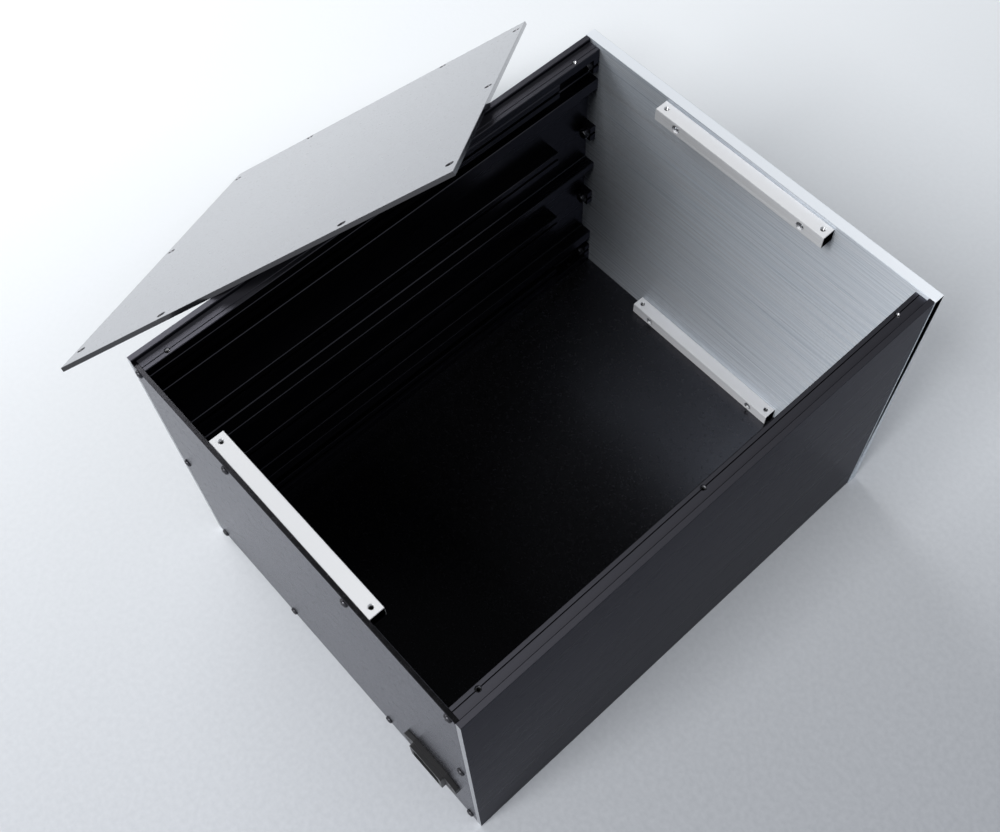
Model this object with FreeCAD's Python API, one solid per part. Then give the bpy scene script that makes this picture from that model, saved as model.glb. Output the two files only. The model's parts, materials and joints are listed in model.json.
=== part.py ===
"""Aluminium amplifier chassis with its top cover taken off.

Two extruded side panels carry everything. A thick front panel is bolted to lugs at their front
ends, a thin rear panel sits between their walls at the back, and two plates lie in recesses
along their lips: the base plate below, and the top cover above. Four bars tie the plates to the
front and rear panels. The cover is off and leans on the rim of the right side panel, with one
corner on the table.

Units are millimetres. X runs to the right as seen from the front, Y to the rear, Z up. The
origin is on the table, midway between the side panels and midway along them.
"""
import FreeCAD, Part
import math
import os

# ---- Overall sizes
OUTER_WIDTH = 288.0          # over the walls of the side panels
PANEL_LENGTH = 362.0         # side panels, front to rear
PANEL_HEIGHT = 240.0

# ---- Side panel section
WALL = 4.0
LIP_DEPTH = 3.0              # the step in which a plate lies
INNER_DEPTH = 13.0           # from the outer face to the inner plane of ledges, ribs and ports
LEDGE_THICK = 7.0
RIB_INSET = 35.0             # each side rib's middle, from the nearer edge
RIB_THICK = 9.5
MID_RIB_THICK = 6.0
INNER_PORT_OFFSET = 36.5     # the inner screw ports, above and below mid-height
PORT_HEIGHT = 12.5           # the outer ports hang under the ledges
PORT_BORE_DEPTH = 8.8        # bore axis, from the outer face
PORT_BORE_RADIUS = 2.15
PORT_SLOT = 2.6
SECTION_FILLET = 0.6         # inside corners of the extrusion
EDGE_BREAK = 0.4             # outside corners of the extrusion
GROOVE_DEPTH = 0.35          # marking groove along each ledge

# ---- Machining of the side panel ends
LUG_LENGTH = 5.0             # what is left of each port at the front
LUG_GAP_LENGTH = 31.0        # port cut away behind each lug

# ---- Plates
FRONT_THICK = 8.0
FRONT_OVERHANG = 0.5         # beyond each side panel
FRONT_CHAMFER = 0.4
PLATE_THICK = 3.0            # top cover, base plate and rear panel
PLATE_CLEARANCE = 0.2        # between a plate's edge and the lip, wall or panel beside it
PLATE_CHAMFER = 0.25

# ---- Holes that hold the plates
SIDE_HOLE_INSET = 10.0       # from the side panel's outer face
END_HOLE_INSET = 20.0        # from the ends of the side panels
LEDGE_HOLE_COUNT = 3         # along each ledge

# ---- Bars
BAR_LENGTH = 140.0
BAR_SECTION = 10.0
BAR_CHAMFER = 0.3
BAR_PLATE_HOLE_SPACING = 130.0
BAR_PANEL_HOLE_SPACING = 104.0
BAR_COUNTERBORE_DEPTH = 4.0

# ---- Fasteners: radii and lengths
M3_RADIUS = 1.5
M4_RADIUS = 2.0
THREAD_CLEARANCE = 0.05      # between a screw and its tapped hole
HOLE_CLEARANCE = 0.2         # between a screw and a plain hole
HOLE_CHAMFER = 0.4           # at the mouth of a tapped hole
BLIND_SPARE = 1.0            # tapped depth beyond a screw's end
M3_CAP_HEAD = (2.75, 3.0, 2.5, 1.3)       # head radius, height, key across flats, key depth
M4_CAP_HEAD = (3.5, 4.0, 3.0, 2.0)
M3_BUTTON_HEAD = (2.85, 1.65, 2.0, 1.0)
BUTTON_CROWN = 0.7           # a button head's top, as a share of its width
M3_FLAT_HEAD_RADIUS = 2.9
M3_FLAT_KEY = (2.0, 1.1)                  # key across flats, key depth
FLAT_HEAD_SUNK = 0.15        # flat heads lie this far below the face
LUG_SCREW_LENGTH = 10.0
BAR_CAP_SCREW_LENGTH = 10.0
REAR_SCREW_LENGTH = 10.0
PLATE_SCREW_LENGTH = 8.0
REAR_BORE_DEPTH = 10.0
COUNTERBORE_CLEARANCE = 0.25
M3_NUT = (5.5, 2.4)                       # across flats, height

# ---- Mains inlet
INLET_SIDE_INSET = 43.0      # the inlet's middle, from the left side panel's outer face
INLET_Z = 45.0
INLET_FLANGE = (50.0, 22.5, 3.0)          # width, height, thickness
INLET_EAR_TIP = 9.0          # height of the flange's ends
INLET_BODY = (27.4, 19.6)    # width and height of what passes through the rear panel
INLET_CUTOUT_CLEARANCE = 0.3
INLET_COLLAR = (30.0, 21.5, 6.0)          # raised part: width, height, stand above the panel
INLET_COLLAR_ROUND = 2.0
INLET_SCREW_SPACING = 40.0
INLET_SOCKET = (24.2, 16.6, 17.0)         # width, height, depth
INLET_SOCKET_CORNER = 4.5    # cut corners on the earth side
INLET_FLOOR = 3.0
INLET_SCREW_LENGTH = 10.0
PIN_SECTION = (2.0, 4.0)     # width, height
PIN_MOUTH = 5.5              # from the tips of the pins to the collar's face
LINE_PIN_OFFSET = 7.0        # line and neutral pins, either side of the middle
PIN_ROW_DROP = 2.0           # line and neutral below the middle, earth above
TAB_SECTION = (6.3, 0.8)
TAB_LENGTH = 9.0
TAB_HOLE_RADIUS = 0.8

# ---- Where the cover leans
COVER_LEAN = 43.5            # degrees down towards the right
COVER_TURN = 49.7            # degrees about the cover's own normal
COVER_FOOT_FROM_FRONT = 155.8    # cover corner on the table, from the front panel's inner face

# ---- Places worked out from the sizes above
HALF_WIDTH = OUTER_WIDTH / 2
FRONT_Y = -PANEL_LENGTH / 2              # front panel's inner face
REAR_Y = PANEL_LENGTH / 2                # rear panel's outer face
SEAT_Y = REAR_Y - PLATE_THICK            # rear panel's inner face
INLET_X = INLET_SIDE_INSET - HALF_WIDTH
LEDGE_TOP = PANEL_HEIGHT - LIP_DEPTH
MID_Z = PANEL_HEIGHT / 2
OUTER_PORT_OFFSET = LEDGE_TOP - LEDGE_THICK - PORT_HEIGHT / 2 - MID_Z
SIDE_HOLE_X = HALF_WIDTH - SIDE_HOLE_INSET
PLATE_WIDTH = OUTER_WIDTH - 2 * (WALL + PLATE_CLEARANCE)
PLATE_LENGTH = PANEL_LENGTH - 2 * PLATE_CLEARANCE
BAR_FRONT_Y = FRONT_Y + BAR_SECTION / 2
BAR_REAR_Y = SEAT_Y - BAR_SECTION / 2
LOW_BAR_Z = PLATE_THICK + BAR_SECTION / 2
HIGH_BAR_Z = LEDGE_TOP - BAR_SECTION / 2
PORT_OFFSETS = (-OUTER_PORT_OFFSET, -INNER_PORT_OFFSET, INNER_PORT_OFFSET, OUTER_PORT_OFFSET)

FLAT = "flat"
UP = FreeCAD.Vector(0, 0, 1)
DOWN = FreeCAD.Vector(0, 0, -1)
REARWARD = FreeCAD.Vector(0, 1, 0)
FORWARD = FreeCAD.Vector(0, -1, 0)


# ---- Small shape helpers

def vec(x, y, z):
    return FreeCAD.Vector(x, y, z)


def box(low, high):
    """A box between two opposite corners."""
    size = high - low
    return Part.makeBox(size.x, size.y, size.z, low)


def rod(radius, start, direction, length):
    """A cylinder that starts at a point and runs along a direction."""
    return Part.makeCylinder(radius, length, start, direction)


def cone(start_radius, end_radius, start, direction, length):
    return Part.makeCone(start_radius, end_radius, length, start, direction)


def hexagon_prism(across_flats, start, direction, length):
    """A hexagonal prism: a key socket, or the outside of a nut."""
    corner_radius = across_flats / math.sqrt(3)
    corners = []
    for index in range(7):
        angle = math.radians(60 * index)
        corners.append(vec(corner_radius * math.cos(angle), corner_radius * math.sin(angle), 0))
    prism = Part.Face(Part.makePolygon(corners)).extrude(vec(0, 0, length))
    prism.Placement = FreeCAD.Placement(start, FreeCAD.Rotation(UP, direction))
    return prism


def fuse_all(shapes):
    return shapes[0].multiFuse(shapes[1:]).removeSplitter()


def cut_all(shape, tools):
    return shape.cut(Part.makeCompound(tools))


def corner_edge(corner, before, after):
    """The edge that finishes a corner, and its two ends. A sharp corner has no edge."""
    x, z, *finish = corner
    here = vec(x, 0, z)
    if not finish:
        return None, here, here
    size = finish[0]
    inward = (vec(before[0], 0, before[1]) - here).normalize()
    outward = (vec(after[0], 0, after[1]) - here).normalize()
    half_turn = inward.getAngle(outward) / 2
    setback = size / math.tan(half_turn)
    start = here + inward * setback
    end = here + outward * setback
    if FLAT in finish:
        return Part.makeLine(start, end), start, end
    bisector = (inward + outward).normalize()
    middle = here + bisector * (size / math.sin(half_turn) - size)
    return Part.Arc(start, middle, end).toShape(), start, end


def profile_face(corners):
    """A flat face in the XZ plane, from its corners in order.

    A corner is (x, z) if it is sharp, (x, z, radius) if it is rounded, and (x, z, size, FLAT)
    if it is cut off straight.
    """
    finished = []
    for index, corner in enumerate(corners):
        after = corners[(index + 1) % len(corners)]
        finished.append(corner_edge(corner, corners[index - 1], after))
    edges = []
    for index, (edge, start, _) in enumerate(finished):
        edges.append(Part.makeLine(finished[index - 1][2], start))
        if edge is not None:
            edges.append(edge)
    return Part.Face(Part.Wire(edges))


def tapped_hole(radius, mouth, direction, depth):
    """A tapped hole, drawn at its thread's radius, with a chamfer at its mouth."""
    hole = rod(radius, mouth, direction, depth)
    chamfer = cone(radius + HOLE_CHAMFER, radius, mouth, direction, HOLE_CHAMFER)
    return hole.fuse(chamfer)


def chamfered_plate(low, high, chamfer, axis):
    """A plate with a small chamfer round both of its broad faces, which face along an axis."""
    plate = box(low, high)
    broad_edges = []
    for face in plate.Faces:
        normal = face.normalAt(0, 0)
        if abs(normal.dot(axis)) > 0.9:
            broad_edges.extend(face.Edges)
    return plate.makeChamfer(chamfer, broad_edges)


# ---- Fasteners. Each is drawn at the place and along the direction in which it is driven in.

def cap_screw(radius, head, seat, direction, length):
    """A socket cap screw whose head bears on the seat."""
    head_radius, head_height, key, key_depth = head
    top = seat - direction * head_height
    body = rod(head_radius, top, direction, head_height)
    shank = rod(radius - THREAD_CLEARANCE, seat, direction, length)
    socket = hexagon_prism(key, top, direction, key_depth)
    return fuse_all([body, shank]).cut(socket)


def button_screw(seat, direction, length):
    """An M3 button-head screw whose rounded head bears on the seat."""
    head_radius, head_height, key, key_depth = M3_BUTTON_HEAD
    top = seat - direction * head_height
    head = cone(head_radius * BUTTON_CROWN, head_radius, top, direction, head_height)
    shank = rod(M3_RADIUS - THREAD_CLEARANCE, seat, direction, length)
    socket = hexagon_prism(key, top, direction, key_depth)
    return fuse_all([head, shank]).cut(socket)


def flat_screw(face_point, direction, length):
    """An M3 countersunk screw, its head just below the face and its length measured from there."""
    top = face_point + direction * FLAT_HEAD_SUNK
    radius = M3_RADIUS - THREAD_CLEARANCE
    head_height = M3_FLAT_HEAD_RADIUS - radius
    head = cone(M3_FLAT_HEAD_RADIUS, radius, top, direction, head_height)
    shank = rod(radius, top + direction * head_height, direction, length - head_height)
    key, key_depth = M3_FLAT_KEY
    return fuse_all([head, shank]).cut(hexagon_prism(key, top, direction, key_depth))


def countersunk_hole(face_point, direction, depth):
    """The hole for flat_screw: its cone bears the head, and a clearance hole goes on."""
    radius = M3_RADIUS + HOLE_CLEARANCE
    mouth_radius = M3_FLAT_HEAD_RADIUS + FLAT_HEAD_SUNK
    seat = cone(mouth_radius, radius, face_point, direction, mouth_radius - radius)
    return seat.fuse(rod(radius, face_point, direction, depth))


# ---- Hole places

def ledge_hole_places():
    """X and Y of the holes above and below the ledges of both side panels."""
    first = FRONT_Y + END_HOLE_INSET
    step = (PANEL_LENGTH - 2 * END_HOLE_INSET) / (LEDGE_HOLE_COUNT - 1)
    places = []
    for side in (-1, 1):
        for index in range(LEDGE_HOLE_COUNT):
            places.append((side * SIDE_HOLE_X, first + index * step))
    return places


def bar_hole_places():
    """X and Y of the holes through the plates into the front and rear bars."""
    places = []
    for y in (BAR_FRONT_Y, BAR_REAR_Y):
        for side in (-1, 1):
            places.append((side * BAR_PLATE_HOLE_SPACING / 2, y))
    return places


def bar_panel_hole_xs():
    return [side * BAR_PANEL_HOLE_SPACING / 2 for side in (-1, 1)]


def rear_side_hole_zs():
    """Heights of the rear panel's screws into the ledges and the mid rib."""
    ledge_middle = LIP_DEPTH + LEDGE_THICK / 2
    return [ledge_middle, MID_Z, PANEL_HEIGHT - ledge_middle]


def inlet_screw_xs():
    return [INLET_X + side * INLET_SCREW_SPACING / 2 for side in (-1, 1)]


# ---- Side panels

def upper_half_section():
    """The extrusion above mid-height, as a face in the XZ plane for the right side panel."""
    inner = HALF_WIDTH - INNER_DEPTH
    wall = HALF_WIDTH - WALL
    ledge_underside = LEDGE_TOP - LEDGE_THICK
    rib_top = PANEL_HEIGHT - RIB_INSET + RIB_THICK / 2
    rib_underside = rib_top - RIB_THICK
    mid_rib_top = MID_Z + MID_RIB_THICK / 2
    return profile_face([
        (HALF_WIDTH, MID_Z),
        (HALF_WIDTH, PANEL_HEIGHT, EDGE_BREAK),
        (wall, PANEL_HEIGHT, EDGE_BREAK, FLAT),
        (wall, LEDGE_TOP),
        (SIDE_HOLE_X + GROOVE_DEPTH, LEDGE_TOP),
        (SIDE_HOLE_X, LEDGE_TOP - GROOVE_DEPTH),
        (SIDE_HOLE_X - GROOVE_DEPTH, LEDGE_TOP),
        (inner, LEDGE_TOP, EDGE_BREAK, FLAT),
        (inner, ledge_underside, EDGE_BREAK, FLAT),
        (wall, ledge_underside, SECTION_FILLET, FLAT),
        (wall, rib_top, SECTION_FILLET, FLAT),
        (inner, rib_top, EDGE_BREAK, FLAT),
        (inner, rib_underside, EDGE_BREAK, FLAT),
        (wall, rib_underside, SECTION_FILLET, FLAT),
        (wall, mid_rib_top, SECTION_FILLET, FLAT),
        (inner, mid_rib_top, EDGE_BREAK, FLAT),
        (inner, MID_Z),
    ])


def port_section(offset):
    """One screw port as a face in the XZ plane: a block with a bore, slotted open to the inside."""
    inner = HALF_WIDTH - INNER_DEPTH
    root = HALF_WIDTH - WALL / 2
    z = MID_Z + offset
    bore_x = HALF_WIDTH - PORT_BORE_DEPTH
    block = profile_face([
        (root, z - PORT_HEIGHT / 2),
        (root, z + PORT_HEIGHT / 2),
        (inner, z + PORT_HEIGHT / 2, EDGE_BREAK, FLAT),
        (inner, z - PORT_HEIGHT / 2, EDGE_BREAK, FLAT),
    ])
    circle = Part.Circle(vec(bore_x, 0, z), REARWARD, PORT_BORE_RADIUS).toShape()
    bore = Part.Face(Part.Wire(circle))
    slot = profile_face([
        (inner - 1, z - PORT_SLOT / 2),
        (inner - 1, z + PORT_SLOT / 2),
        (bore_x, z + PORT_SLOT / 2),
        (bore_x, z - PORT_SLOT / 2),
    ])
    return block.cut(bore).cut(slot)


def port_lengths():
    """Where the ports are left standing: the lugs at the front, and the run to the rear panel."""
    run_start = FRONT_Y + LUG_LENGTH + LUG_GAP_LENGTH
    return [(FRONT_Y, LUG_LENGTH), (run_start, SEAT_Y - run_start)]


def ports():
    solids = []
    for offset in PORT_OFFSETS:
        section = port_section(offset)
        for start, length in port_lengths():
            solid = section.extrude(REARWARD * length)
            solid.translate(REARWARD * start)
            solids.append(solid)
    return solids


def side_panel_right():
    """The right side panel: the extrusion, its ports, and the holes tapped in ledges and ribs."""
    upper = upper_half_section().extrude(REARWARD * PANEL_LENGTH)
    upper.translate(REARWARD * FRONT_Y)
    lower = upper.mirror(vec(0, 0, MID_Z), UP)
    rear_seat = box(
        vec(HALF_WIDTH - INNER_DEPTH - 1, SEAT_Y, LIP_DEPTH),
        vec(HALF_WIDTH - WALL, REAR_Y + 1, LEDGE_TOP),
    )
    panel = fuse_all([upper, lower]).cut(rear_seat)
    panel = fuse_all([panel] + ports())
    holes = []
    for x, y in ledge_hole_places():
        if x > 0:
            holes.append(tapped_hole(M3_RADIUS, vec(x, y, LEDGE_TOP), DOWN, LEDGE_THICK))
            holes.append(rod(M3_RADIUS, vec(x, y, LIP_DEPTH), UP, LEDGE_THICK))
    for z in rear_side_hole_zs():
        holes.append(rod(M3_RADIUS, vec(SIDE_HOLE_X, SEAT_Y, z), FORWARD, REAR_BORE_DEPTH))
    return cut_all(panel, holes)


def side_panel_left():
    return side_panel_right().mirror(vec(0, 0, 0), vec(1, 0, 0))


# ---- Plates

def lug_screw_places(side):
    """Bore axes of one side panel's lugs, on the front panel's inner face."""
    x = side * (HALF_WIDTH - PORT_BORE_DEPTH)
    return [vec(x, FRONT_Y, MID_Z + offset) for offset in PORT_OFFSETS]


def front_panel():
    half = HALF_WIDTH + FRONT_OVERHANG
    plate = chamfered_plate(
        vec(-half, FRONT_Y - FRONT_THICK, 0),
        vec(half, FRONT_Y, PANEL_HEIGHT),
        FRONT_CHAMFER,
        REARWARD,
    )
    holes = []
    lug_depth = LUG_SCREW_LENGTH - LUG_LENGTH + BLIND_SPARE
    for side in (-1, 1):
        for place in lug_screw_places(side):
            holes.append(rod(M4_RADIUS, place, FORWARD, lug_depth))
    bar_depth = BAR_CAP_SCREW_LENGTH - (BAR_SECTION - BAR_COUNTERBORE_DEPTH) + BLIND_SPARE
    for x in bar_panel_hole_xs():
        for z in (LOW_BAR_Z, HIGH_BAR_Z):
            holes.append(rod(M3_RADIUS, vec(x, FRONT_Y, z), FORWARD, bar_depth))
    return cut_all(plate, holes)


def inlet_cutout():
    width, height = INLET_BODY
    half = vec(width / 2 + INLET_CUTOUT_CLEARANCE, 0, height / 2 + INLET_CUTOUT_CLEARANCE)
    centre = vec(INLET_X, 0, INLET_Z)
    return box(centre - half + FORWARD * -(SEAT_Y - 1), centre + half + REARWARD * (REAR_Y + 1))


def rear_panel():
    half = HALF_WIDTH - WALL - PLATE_CLEARANCE
    plate = chamfered_plate(
        vec(-half, SEAT_Y, PLATE_THICK),
        vec(half, REAR_Y, LEDGE_TOP),
        PLATE_CHAMFER,
        REARWARD,
    )
    holes = [inlet_cutout()]
    radius = M3_RADIUS + HOLE_CLEARANCE
    for z in rear_side_hole_zs():
        for side in (-1, 1):
            holes.append(rod(radius, vec(side * SIDE_HOLE_X, REAR_Y, z), FORWARD, PLATE_THICK))
    for x in bar_panel_hole_xs():
        for z in (LOW_BAR_Z, HIGH_BAR_Z):
            holes.append(rod(radius, vec(x, REAR_Y, z), FORWARD, PLATE_THICK))
    for x in inlet_screw_xs():
        holes.append(rod(radius, vec(x, REAR_Y, INLET_Z), FORWARD, PLATE_THICK))
    return cut_all(plate, holes)


def screwed_plate():
    """A plate that lies in the lips, with its countersunk face up and its underside at Z = 0."""
    plate = chamfered_plate(
        vec(-PLATE_WIDTH / 2, -PLATE_LENGTH / 2, 0),
        vec(PLATE_WIDTH / 2, PLATE_LENGTH / 2, PLATE_THICK),
        PLATE_CHAMFER,
        UP,
    )
    holes = []
    for x, y in ledge_hole_places() + bar_hole_places():
        holes.append(countersunk_hole(vec(x, y, PLATE_THICK), DOWN, PLATE_THICK))
    return cut_all(plate, holes)


def base_plate():
    """The lower plate: countersunk from below, flush with the lower lips."""
    return screwed_plate().mirror(vec(0, 0, PLATE_THICK / 2), UP)


def top_cover():
    """The upper plate, leaning on the right side panel's rim with one corner on the table."""
    lean = math.radians(COVER_LEAN)
    normal = vec(math.sin(lean), 0, math.cos(lean))
    rim = vec(HALF_WIDTH - EDGE_BREAK, 0, PANEL_HEIGHT - EDGE_BREAK)
    plane_distance = normal.dot(rim) + EDGE_BREAK
    turn = FreeCAD.Rotation(UP, COVER_TURN)
    tilt = FreeCAD.Rotation(REARWARD, COVER_LEAN)
    rotation = tilt.multiply(turn)
    corner = vec(PLATE_WIDTH / 2, -PLATE_LENGTH / 2, PLATE_CHAMFER)
    cover = screwed_plate()
    cover.Placement = FreeCAD.Placement(vec(0, 0, 0), rotation)
    lowest = rotation.multVec(corner)
    along_rim = rotation.multVec(vec(PLATE_WIDTH / 2, -PLATE_LENGTH / 2, 0))
    lift = -cover.optimalBoundingBox().ZMin
    slide = (plane_distance - normal.z * lift) / normal.x
    foot_y = FRONT_Y + COVER_FOOT_FROM_FRONT
    cover.translate(vec(slide, foot_y - along_rim.y, lift))
    return cover


# ---- Bars

def bar(y, z):
    """A plain bar across the chassis, tapped through from top to bottom for the plates' screws."""
    half = vec(BAR_LENGTH / 2, BAR_SECTION / 2, BAR_SECTION / 2)
    centre = vec(0, y, z)
    shape = box(centre - half, centre + half)
    shape = shape.makeChamfer(BAR_CHAMFER, shape.Edges)
    holes = []
    for side in (-1, 1):
        top = vec(side * BAR_PLATE_HOLE_SPACING / 2, y, z + half.z)
        holes.append(tapped_hole(M3_RADIUS, top, DOWN, BAR_SECTION))
    return cut_all(shape, holes)


def front_bar(z):
    """A front bar: counterbored from the inside, for cap screws into the front panel."""
    inner_y = FRONT_Y + BAR_SECTION
    counterbore_radius = M3_CAP_HEAD[0] + COUNTERBORE_CLEARANCE
    holes = []
    for x in bar_panel_hole_xs():
        mouth = vec(x, inner_y, z)
        holes.append(rod(M3_RADIUS + HOLE_CLEARANCE, mouth, FORWARD, BAR_SECTION))
        holes.append(rod(counterbore_radius, mouth, FORWARD, BAR_COUNTERBORE_DEPTH))
    return cut_all(bar(BAR_FRONT_Y, z), holes)


def rear_bar(z):
    """A rear bar: tapped from front to rear, for screws from outside the rear panel."""
    holes = []
    for x in bar_panel_hole_xs():
        holes.append(tapped_hole(M3_RADIUS, vec(x, SEAT_Y - BAR_SECTION, z), REARWARD, BAR_SECTION))
    return cut_all(bar(BAR_REAR_Y, z), holes)


# ---- Mains inlet

def inlet_outline(width, height, corner):
    """A rectangle centred on the inlet, with rounded corners, as a face in the XZ plane."""
    return profile_face([
        (INLET_X - width / 2, INLET_Z - height / 2, corner),
        (INLET_X + width / 2, INLET_Z - height / 2, corner),
        (INLET_X + width / 2, INLET_Z + height / 2, corner),
        (INLET_X - width / 2, INLET_Z + height / 2, corner),
    ])


def inlet_flange():
    """The flange: full height over the collar, tapering to a rounded tip past each screw."""
    width, height, thickness = INLET_FLANGE
    collar_width = INLET_COLLAR[0]
    tip_round = INLET_EAR_TIP / 2.2
    corners = []
    for side, order in ((-1, 1), (1, -1)):
        ear = [
            (INLET_X + side * collar_width / 2, INLET_Z - order * height / 2, 1.0),
            (INLET_X + side * width / 2, INLET_Z - order * INLET_EAR_TIP / 2, tip_round),
            (INLET_X + side * width / 2, INLET_Z + order * INLET_EAR_TIP / 2, tip_round),
            (INLET_X + side * collar_width / 2, INLET_Z + order * height / 2, 1.0),
        ]
        corners.extend(ear)
    flange = profile_face(corners).extrude(REARWARD * thickness)
    flange.translate(REARWARD * REAR_Y)
    return flange


def inlet_socket():
    """The socket's hollow: a rectangle with its two upper corners cut off."""
    width, height, depth = INLET_SOCKET
    left = INLET_X - width / 2
    right = INLET_X + width / 2
    low = INLET_Z - height / 2
    high = INLET_Z + height / 2
    hollow = profile_face([
        (left, low, 0.8),
        (right, low, 0.8),
        (right, high - INLET_SOCKET_CORNER, 0.8),
        (right - INLET_SOCKET_CORNER, high, 0.8),
        (left + INLET_SOCKET_CORNER, high, 0.8),
        (left, high - INLET_SOCKET_CORNER, 0.8),
    ]).extrude(FORWARD * depth)
    hollow.translate(REARWARD * (REAR_Y + INLET_COLLAR[2]))
    return hollow


def inlet_back_y():
    """The rear face of the housing inside the chassis."""
    return REAR_Y + INLET_COLLAR[2] - INLET_SOCKET[2] - INLET_FLOOR


def pin_places():
    """X and Z of each pin's axis, by the pin's name."""
    return {
        "line": (INLET_X - LINE_PIN_OFFSET, INLET_Z - PIN_ROW_DROP),
        "neutral": (INLET_X + LINE_PIN_OFFSET, INLET_Z - PIN_ROW_DROP),
        "earth": (INLET_X, INLET_Z + PIN_ROW_DROP),
    }


def pin_blade(x, z):
    """The part of a pin that the socket shows, from inside the housing's floor to its tip."""
    width, height = PIN_SECTION
    tip = REAR_Y + INLET_COLLAR[2] - PIN_MOUTH
    return box(vec(x - width / 2, inlet_back_y(), z - height / 2), vec(x + width / 2, tip, z + height / 2))


def inlet_housing():
    """The moulded housing: flange, collar and body round one socket."""
    collar = inlet_outline(INLET_COLLAR[0], INLET_COLLAR[1], INLET_COLLAR_ROUND)
    collar = collar.extrude(REARWARD * INLET_COLLAR[2])
    collar.translate(REARWARD * REAR_Y)
    body_length = REAR_Y - inlet_back_y()
    body = inlet_outline(INLET_BODY[0], INLET_BODY[1], 1.0).extrude(REARWARD * body_length)
    body.translate(REARWARD * inlet_back_y())
    cuts = [inlet_socket()]
    for x in inlet_screw_xs():
        face_point = vec(x, REAR_Y + INLET_FLANGE[2], INLET_Z)
        cuts.append(countersunk_hole(face_point, FORWARD, INLET_FLANGE[2]))
    for x, z in pin_places().values():
        cuts.append(pin_blade(x, z))
    return cut_all(fuse_all([inlet_flange(), collar, body]), cuts)


def inlet_pin(name):
    """A pin with a rounded tip, and the tab behind the housing that its wire pushes onto."""
    x, z = pin_places()[name]
    blade = pin_blade(x, z)
    tip_edges = [edge for edge in blade.Edges if edge.BoundBox.YMin > blade.BoundBox.YMax - 0.01]
    blade = blade.makeChamfer(PIN_SECTION[0] * 0.25, tip_edges)
    width, thickness = TAB_SECTION
    back = inlet_back_y()
    tab = box(
        vec(x - thickness / 2, back - TAB_LENGTH, z - width / 2),
        vec(x + thickness / 2, back, z + width / 2),
    )
    hole_centre = vec(x - thickness, back - TAB_LENGTH + 3 * TAB_HOLE_RADIUS, z)
    hole = rod(TAB_HOLE_RADIUS, hole_centre, vec(1, 0, 0), 2 * thickness)
    return fuse_all([blade, tab.cut(hole)])


def inlet_screws():
    y = REAR_Y + INLET_FLANGE[2]
    return [flat_screw(vec(x, y, INLET_Z), FORWARD, INLET_SCREW_LENGTH) for x in inlet_screw_xs()]


def inlet_nuts():
    across_flats, height = M3_NUT
    nuts = []
    for x in inlet_screw_xs():
        seat = vec(x, SEAT_Y, INLET_Z)
        nut = hexagon_prism(across_flats, seat, FORWARD, height)
        nuts.append(nut.cut(rod(M3_RADIUS, seat, FORWARD, height)))
    return nuts


# ---- Groups of like screws

def front_side_screws(side):
    """Cap screws through one side panel's lugs into the front panel."""
    seats = [place + REARWARD * LUG_LENGTH for place in lug_screw_places(side)]
    return [cap_screw(M4_RADIUS, M4_CAP_HEAD, seat, FORWARD, LUG_SCREW_LENGTH) for seat in seats]


def front_bar_screws(z):
    seat_y = FRONT_Y + BAR_SECTION - BAR_COUNTERBORE_DEPTH
    screws = []
    for x in bar_panel_hole_xs():
        seat = vec(x, seat_y, z)
        screws.append(cap_screw(M3_RADIUS, M3_CAP_HEAD, seat, FORWARD, BAR_CAP_SCREW_LENGTH))
    return screws


def rear_bar_screws(z):
    seats = [vec(x, REAR_Y, z) for x in bar_panel_hole_xs()]
    return [button_screw(seat, FORWARD, REAR_SCREW_LENGTH) for seat in seats]


def rear_side_screws(side):
    seats = [vec(side * SIDE_HOLE_X, REAR_Y, z) for z in rear_side_hole_zs()]
    return [button_screw(seat, FORWARD, REAR_SCREW_LENGTH) for seat in seats]


def base_side_screws():
    return [flat_screw(vec(x, y, 0), UP, PLATE_SCREW_LENGTH) for x, y in ledge_hole_places()]


def base_bar_screws():
    return [flat_screw(vec(x, y, 0), UP, PLATE_SCREW_LENGTH) for x, y in bar_hole_places()]


# ---- The whole chassis

def build():
    """Every piece by its node name. A list holds the separate solids of one node."""
    pieces = {
        "front_panel": front_panel(),
        "rear_panel": rear_panel(),
        "side_panel_left": side_panel_left(),
        "side_panel_right": side_panel_right(),
        "base_plate": base_plate(),
        "top_cover": top_cover(),
        "front_top_bar": front_bar(HIGH_BAR_Z),
        "front_bottom_bar": front_bar(LOW_BAR_Z),
        "rear_top_bar": rear_bar(HIGH_BAR_Z),
        "rear_bottom_bar": rear_bar(LOW_BAR_Z),
        "inlet_housing": inlet_housing(),
        "inlet_screws": inlet_screws(),
        "inlet_nuts": inlet_nuts(),
        "front_side_screws_left": front_side_screws(-1),
        "front_side_screws_right": front_side_screws(1),
        "front_top_bar_screws": front_bar_screws(HIGH_BAR_Z),
        "front_bottom_bar_screws": front_bar_screws(LOW_BAR_Z),
        "rear_top_bar_screws": rear_bar_screws(HIGH_BAR_Z),
        "rear_bottom_bar_screws": rear_bar_screws(LOW_BAR_Z),
        "rear_side_screws_left": rear_side_screws(-1),
        "rear_side_screws_right": rear_side_screws(1),
        "base_side_screws": base_side_screws(),
        "base_bar_screws": base_bar_screws(),
    }
    for name in pin_places():
        pieces["inlet_%s_pin" % name] = inlet_pin(name)
    return pieces


def main():
    os.makedirs("parts", exist_ok=True)
    for node, piece in build().items():
        shape = Part.makeCompound(piece) if isinstance(piece, list) else piece
        shape.exportStep("parts/%s.step" % node)
        print("%-26s %2d solids, volume %.0f" % (node, len(shape.Solids), shape.Volume))


main()
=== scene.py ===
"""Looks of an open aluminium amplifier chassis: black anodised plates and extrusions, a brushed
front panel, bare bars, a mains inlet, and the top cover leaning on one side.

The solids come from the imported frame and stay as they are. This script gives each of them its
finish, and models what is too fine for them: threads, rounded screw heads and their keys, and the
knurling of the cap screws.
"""
from __future__ import annotations

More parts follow.
